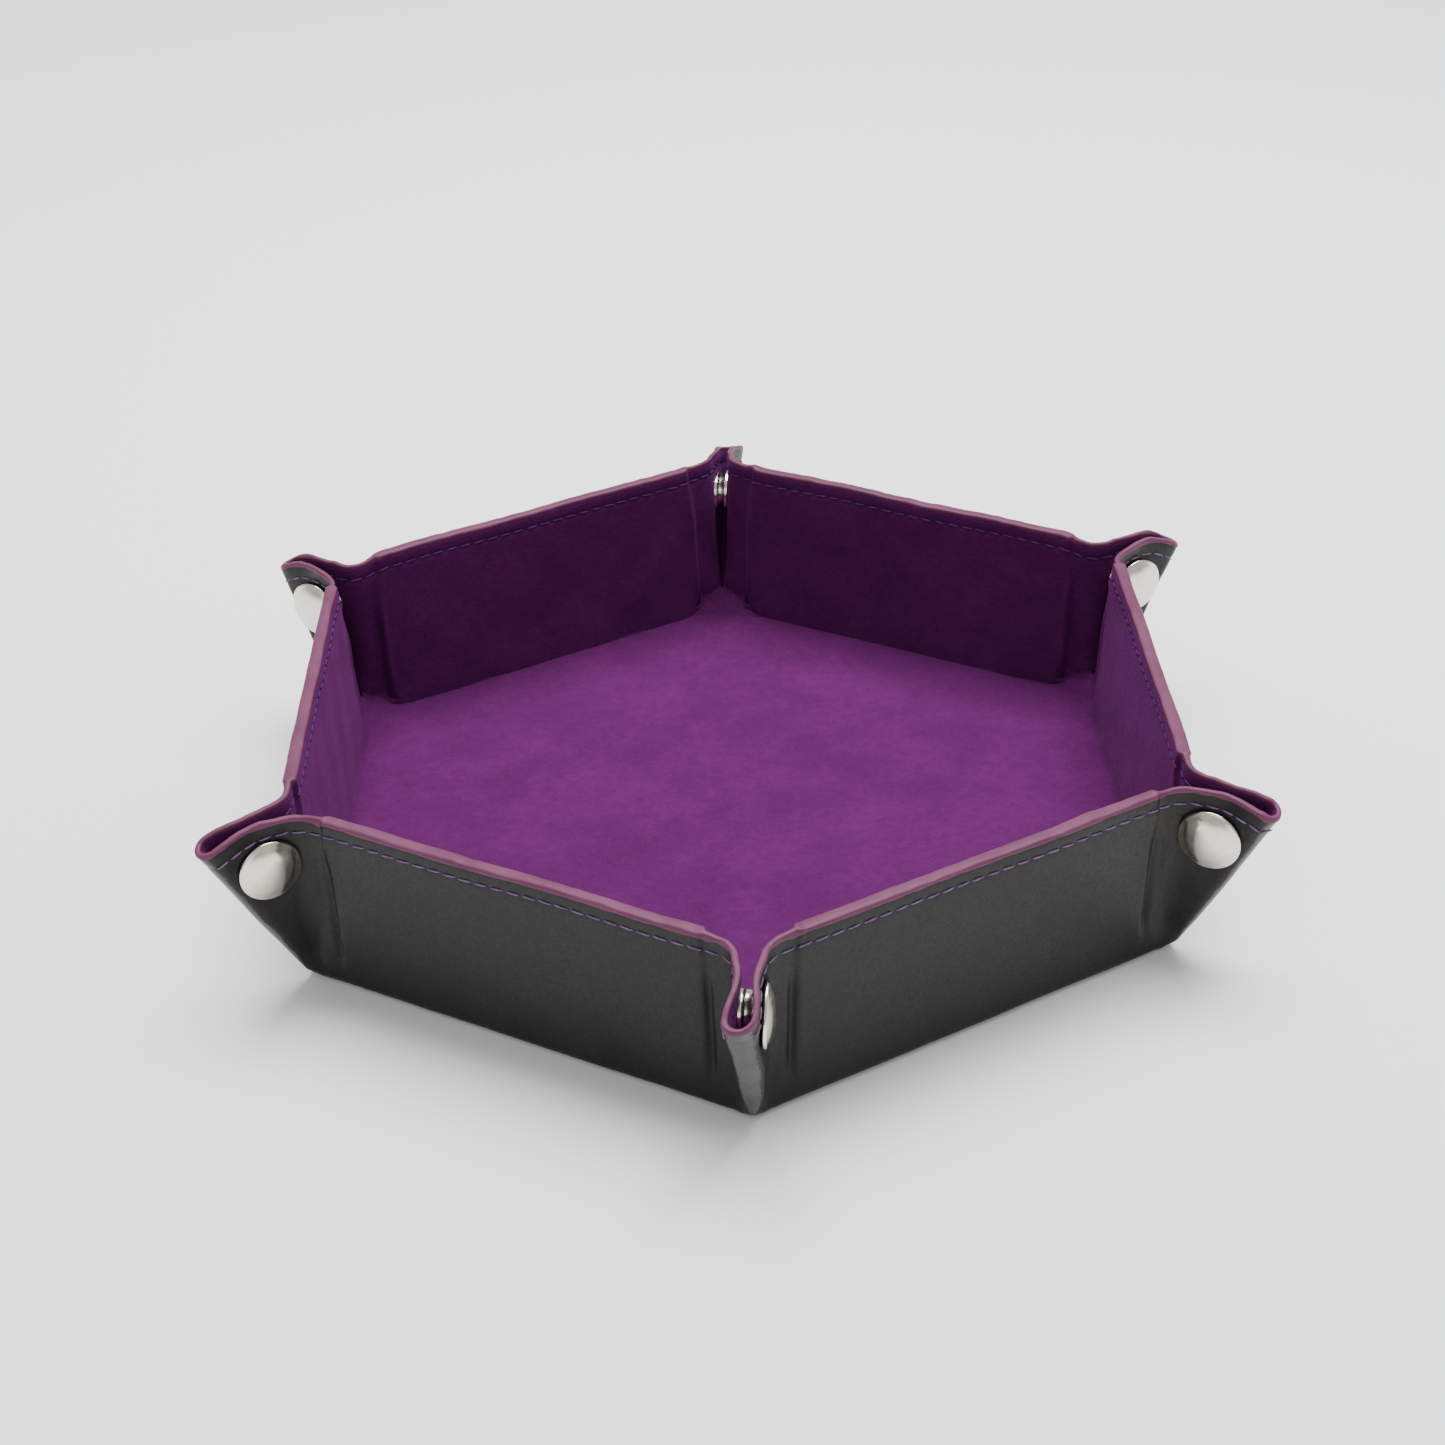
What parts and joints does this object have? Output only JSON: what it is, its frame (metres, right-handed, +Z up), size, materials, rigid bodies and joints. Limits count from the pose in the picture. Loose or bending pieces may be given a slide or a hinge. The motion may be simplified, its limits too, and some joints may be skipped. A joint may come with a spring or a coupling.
{
  "type": "folding dice tray",
  "caption": "Hexagonal dice tray of black imitation leather lined with purple velvet; hinged walls fold flat from a base, held up by press studs through pinched corners.",
  "frame": {"origin": "centre of the base, on the surface the tray stands on", "axes": "+Z up, out of the tray; +X through the middle of wall 1; -Y through corner 5, the corner nearest the viewer"},
  "size_m": [0.208, 0.2366, 0.0411],
  "materials": {
    "leather": "semi-gloss black imitation leather with a fine grain",
    "velvet": "short-pile purple velvet",
    "board": "plain grey bookbinding board",
    "nickel": "polished nickel"
  },
  "bodies": {
    "base": {"base_board": "board", "base_cover": "leather", "base_lining": "velvet"},
    "wall_1": {"wall_board_1": "board", "wall_cover_1": "leather", "wall_lining_1": "velvet"},
    "wall_2": {"wall_board_2": "board", "wall_cover_2": "leather", "wall_lining_2": "velvet"},
    "wall_3": {"wall_board_3": "board", "wall_cover_3": "leather", "wall_lining_3": "velvet"},
    "wall_4": {"wall_board_4": "board", "wall_cover_4": "leather", "wall_lining_4": "velvet"},
    "wall_5": {"wall_board_5": "board", "wall_cover_5": "leather", "wall_lining_5": "velvet"},
    "wall_6": {"wall_board_6": "board", "wall_cover_6": "leather", "wall_lining_6": "velvet"},
    "cap_flap_body_1": {"cap_flap_1": "leather", "snap_cap_1": "nickel", "snap_socket_1": "nickel"},
    "stud_flap_body_1": {"stud_flap_1": "leather", "snap_stud_1": "nickel", "snap_post_1": "nickel"},
    "cap_flap_body_2": {"cap_flap_2": "leather", "snap_cap_2": "nickel", "snap_socket_2": "nickel"},
    "stud_flap_body_2": {"stud_flap_2": "leather", "snap_stud_2": "nickel", "snap_post_2": "nickel"},
    "cap_flap_body_3": {"cap_flap_3": "leather", "snap_cap_3": "nickel", "snap_socket_3": "nickel"},
    "stud_flap_body_3": {"stud_flap_3": "leather", "snap_stud_3": "nickel", "snap_post_3": "nickel"},
    "cap_flap_body_4": {"cap_flap_4": "leather", "snap_cap_4": "nickel", "snap_socket_4": "nickel"},
    "stud_flap_body_4": {"stud_flap_4": "leather", "snap_stud_4": "nickel", "snap_post_4": "nickel"},
    "cap_flap_body_5": {"cap_flap_5": "leather", "snap_cap_5": "nickel", "snap_socket_5": "nickel"},
    "stud_flap_body_5": {"stud_flap_5": "leather", "snap_stud_5": "nickel", "snap_post_5": "nickel"},
    "cap_flap_body_6": {"cap_flap_6": "leather", "snap_cap_6": "nickel", "snap_socket_6": "nickel"},
    "stud_flap_body_6": {"stud_flap_6": "leather", "snap_stud_6": "nickel", "snap_post_6": "nickel"}
  },
  "joints": [
    {"name": "wall_fold_1", "type": "hinge", "parent": "base", "child": "wall_1", "pos_m": [0.0864, 0, 0.00145], "axis": [0, 1, 0], "range_deg": [0, 81.6]},
    {"name": "wall_fold_2", "type": "hinge", "parent": "base", "child": "wall_2", "pos_m": [0.0432, 0.07482, 0.00145], "axis": [-0.866, 0.5, 0], "range_deg": [0, 81.6]},
    {"name": "wall_fold_3", "type": "hinge", "parent": "base", "child": "wall_3", "pos_m": [-0.0432, 0.07482, 0.00145], "axis": [-0.866, -0.5, 0], "range_deg": [0, 81.6]},
    {"name": "wall_fold_4", "type": "hinge", "parent": "base", "child": "wall_4", "pos_m": [-0.0864, 0, 0.00145], "axis": [0, -1, 0], "range_deg": [0, 81.6]},
    {"name": "wall_fold_5", "type": "hinge", "parent": "base", "child": "wall_5", "pos_m": [-0.0432, -0.07482, 0.00145], "axis": [0.866, -0.5, 0], "range_deg": [0, 81.6]},
    {"name": "wall_fold_6", "type": "hinge", "parent": "base", "child": "wall_6", "pos_m": [0.0432, -0.07482, 0.00145], "axis": [0.866, 0.5, 0], "range_deg": [0, 81.6]},
    {"name": "cap_flap_fold_1", "type": "hinge", "parent": "wall_1", "child": "cap_flap_body_1", "pos_m": [0.08602, 0.04923, 0.00147], "axis": [0.0628, 0, 0.998], "range_deg": [0, 60]},
    {"name": "stud_flap_fold_1", "type": "hinge", "parent": "wall_2", "child": "stud_flap_body_1", "pos_m": [0.08565, 0.04988, 0.00147], "axis": [-0.0314, -0.0544, -0.998], "range_deg": [0, 60]},
    {"name": "cap_flap_fold_2", "type": "hinge", "parent": "wall_2", "child": "cap_flap_body_2", "pos_m": [0.00037, 0.09912, 0.00147], "axis": [0.0314, 0.0544, 0.998], "range_deg": [0, 60]},
    {"name": "stud_flap_fold_2", "type": "hinge", "parent": "wall_3", "child": "stud_flap_body_2", "pos_m": [-0.00037, 0.09912, 0.00147], "axis": [0.0314, -0.0544, -0.998], "range_deg": [0, 60]},
    {"name": "cap_flap_fold_3", "type": "hinge", "parent": "wall_4", "child": "cap_flap_body_3", "pos_m": [-0.08602, 0.04923, 0.00147], "axis": [0.0628, 0, -0.998], "range_deg": [0, 60]},
    {"name": "stud_flap_fold_3", "type": "hinge", "parent": "wall_3", "child": "stud_flap_body_3", "pos_m": [-0.08565, 0.04988, 0.00147], "axis": [-0.0314, 0.0544, 0.998], "range_deg": [0, 60]},
    {"name": "cap_flap_fold_4", "type": "hinge", "parent": "wall_5", "child": "cap_flap_body_4", "pos_m": [-0.08565, -0.04988, 0.00147], "axis": [0.0314, 0.0544, -0.998], "range_deg": [0, 60]},
    {"name": "stud_flap_fold_4", "type": "hinge", "parent": "wall_4", "child": "stud_flap_body_4", "pos_m": [-0.08602, -0.04923, 0.00147], "axis": [-0.0628, 0, 0.998], "range_deg": [0, 60]},
    {"name": "cap_flap_fold_5", "type": "hinge", "parent": "wall_6", "child": "cap_flap_body_5", "pos_m": [0.00037, -0.09912, 0.00147], "axis": [-0.0314, 0.0544, -0.998], "range_deg": [0, 60]},
    {"name": "stud_flap_fold_5", "type": "hinge", "parent": "wall_5", "child": "stud_flap_body_5", "pos_m": [-0.00037, -0.09912, 0.00147], "axis": [-0.0314, -0.0544, 0.998], "range_deg": [0, 60]},
    {"name": "cap_flap_fold_6", "type": "hinge", "parent": "wall_6", "child": "cap_flap_body_6", "pos_m": [0.08565, -0.04988, 0.00147], "axis": [0.0314, -0.0544, 0.998], "range_deg": [0, 60]},
    {"name": "stud_flap_fold_6", "type": "hinge", "parent": "wall_1", "child": "stud_flap_body_6", "pos_m": [0.08602, -0.04923, 0.00147], "axis": [-0.0628, 0, -0.998], "range_deg": [0, 60]}
  ],
  "couplings": [
    {"joint": "wall_fold_2", "follows": "wall_fold_1", "ratio": 1},
    {"joint": "wall_fold_3", "follows": "wall_fold_1", "ratio": 1},
    {"joint": "wall_fold_4", "follows": "wall_fold_1", "ratio": 1},
    {"joint": "wall_fold_5", "follows": "wall_fold_1", "ratio": 1},
    {"joint": "wall_fold_6", "follows": "wall_fold_1", "ratio": 1},
    {"joint": "cap_flap_fold_1", "follows": "wall_fold_1", "ratio": 0.73529},
    {"joint": "stud_flap_fold_1", "follows": "wall_fold_1", "ratio": 0.73529},
    {"joint": "cap_flap_fold_2", "follows": "wall_fold_1", "ratio": 0.73529},
    {"joint": "stud_flap_fold_2", "follows": "wall_fold_1", "ratio": 0.73529},
    {"joint": "cap_flap_fold_3", "follows": "wall_fold_1", "ratio": 0.73529},
    {"joint": "stud_flap_fold_3", "follows": "wall_fold_1", "ratio": 0.73529},
    {"joint": "cap_flap_fold_4", "follows": "wall_fold_1", "ratio": 0.73529},
    {"joint": "stud_flap_fold_4", "follows": "wall_fold_1", "ratio": 0.73529},
    {"joint": "cap_flap_fold_5", "follows": "wall_fold_1", "ratio": 0.73529},
    {"joint": "stud_flap_fold_5", "follows": "wall_fold_1", "ratio": 0.73529},
    {"joint": "cap_flap_fold_6", "follows": "wall_fold_1", "ratio": 0.73529},
    {"joint": "stud_flap_fold_6", "follows": "wall_fold_1", "ratio": 0.73529}
  ]
}
